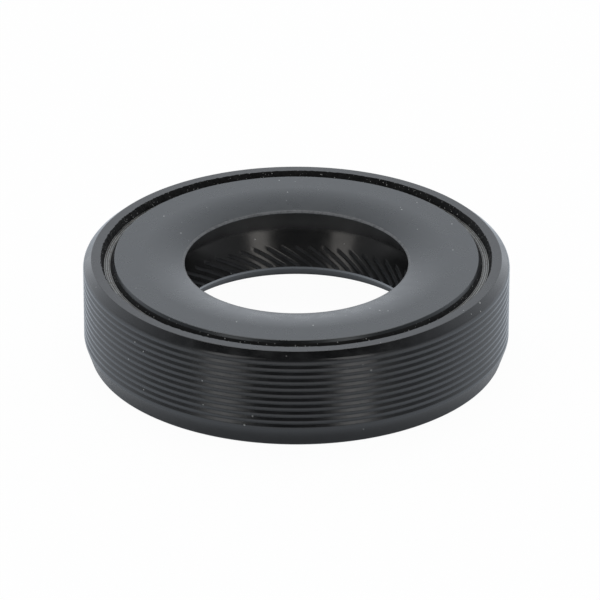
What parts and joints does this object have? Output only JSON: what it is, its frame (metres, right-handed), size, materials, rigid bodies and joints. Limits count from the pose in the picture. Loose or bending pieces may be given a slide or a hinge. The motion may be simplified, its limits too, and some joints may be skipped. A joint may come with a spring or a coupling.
{
  "type": "radial shaft seal",
  "caption": "Rotary shaft lip seal: rubber with a ribbed outer surface moulded over a steel case, an inward dust lip, and a sprung sealing lip with slanted pumping ribs.",
  "frame": {"origin": "on the shaft axis, in the plane of the oil-side end that goes into the housing first", "axes": "+Z along the shaft axis, from the oil side to the closed face and dust lip; X and Y are free, as the seal is round"},
  "size_m": [0.062, 0.062, 0.015],
  "materials": {
    "rubber": "smooth moulded black rubber with a satin sheen",
    "case_steel": "dull grey pressed steel",
    "spring_steel": "drawn spring wire"
  },
  "bodies": {
    "root": {"rubber_body": "rubber", "steel_case": "case_steel", "garter_spring": "spring_steel"}
  },
  "joints": []
}
